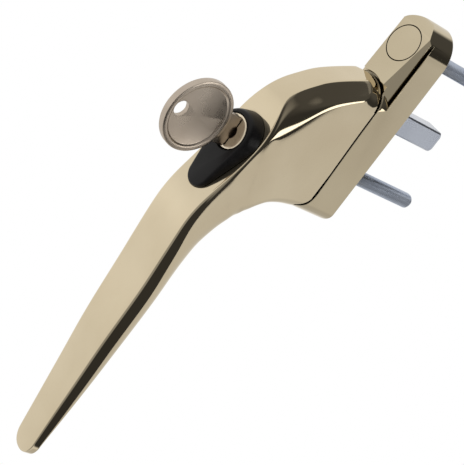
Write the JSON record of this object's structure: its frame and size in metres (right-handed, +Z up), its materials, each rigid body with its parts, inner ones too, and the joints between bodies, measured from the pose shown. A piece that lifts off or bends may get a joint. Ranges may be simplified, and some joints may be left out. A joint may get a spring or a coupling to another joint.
{
  "type": "key locking window handle",
  "caption": "Espagnolette window handle with a tapering lever, square drive spindle, narrow screw-fixed base, a key lock set in the lever, and its key.",
  "frame": {"origin": "centre of the spindle's free end; the spindle axis is the Y axis and the base's mounting face is the plane y = -0.0255", "axes": "+X to the right seen from the room, +Y out of the room into the window, +Z up; the lever hangs down along -Z"},
  "size_m": [0.0174, 0.1103, 0.1748],
  "materials": {
    "gold_casting": "polished pale gold plating on a zinc casting",
    "plated_lock_face": "satin pale gold plating",
    "black_plastic": "satin black moulding",
    "bright_zinc": "bright zinc plated steel",
    "spring_steel": "bare oiled steel",
    "turned_brass": "bare machined brass",
    "nickel_silver": "nickel plated, lightly brushed"
  },
  "bodies": {
    "base_body": {"base_plate": "gold_casting", "rear_cover_ring": "spring_steel", "fixing_screw_upper": "bright_zinc", "fixing_screw_lower": "bright_zinc", "detent_ball_upper": "spring_steel", "detent_ball_lower": "spring_steel", "detent_spring_upper": "spring_steel", "detent_spring_lower": "spring_steel"},
    "lever_body": {"lever": "gold_casting", "spindle": "bright_zinc", "drive_bush": "spring_steel", "spindle_pin": "spring_steel", "retaining_circlip": "spring_steel", "thrust_washer": "spring_steel", "lock_surround": "black_plastic", "lock_barrel": "turned_brass", "cavity_cover": "spring_steel"},
    "plug_body": {"lock_plug": "plated_lock_face", "wafer_1": "turned_brass", "wafer_2": "turned_brass", "wafer_3": "turned_brass", "wafer_4": "turned_brass", "wafer_5": "turned_brass", "cam_pin": "spring_steel"},
    "bolt_body": {"lock_bolt": "bright_zinc"},
    "key_body": {"key": "nickel_silver"},
    "cap_body": {"screw_cap": "gold_casting"}
  },
  "joints": [
    {"name": "lever_turn", "type": "hinge", "parent": "base_body", "child": "lever_body", "pos_m": [0, -0.0255, 0], "axis": [0, -1, 0], "range_deg": [-90, 90]},
    {"name": "key_turn", "type": "hinge", "parent": "lever_body", "child": "plug_body", "pos_m": [0, -0.0743, -0.0251], "axis": [0, -1, 0], "range_deg": [0, 90]},
    {"name": "bolt_slide", "type": "slide", "parent": "lever_body", "child": "bolt_body", "axis": [0, 1, 0], "range_m": [0, 0.0037]},
    {"name": "key_slide", "type": "slide", "parent": "plug_body", "child": "key_body", "axis": [0, -1, 0], "range_m": [0, 0.03]},
    {"name": "cap_pull", "type": "slide", "parent": "base_body", "child": "cap_body", "axis": [0, -1, 0], "range_m": [0, 0.012]}
  ],
  "couplings": [
    {"joint": "bolt_slide", "follows": "key_turn", "m_per_rad": 0.0023555}
  ]
}
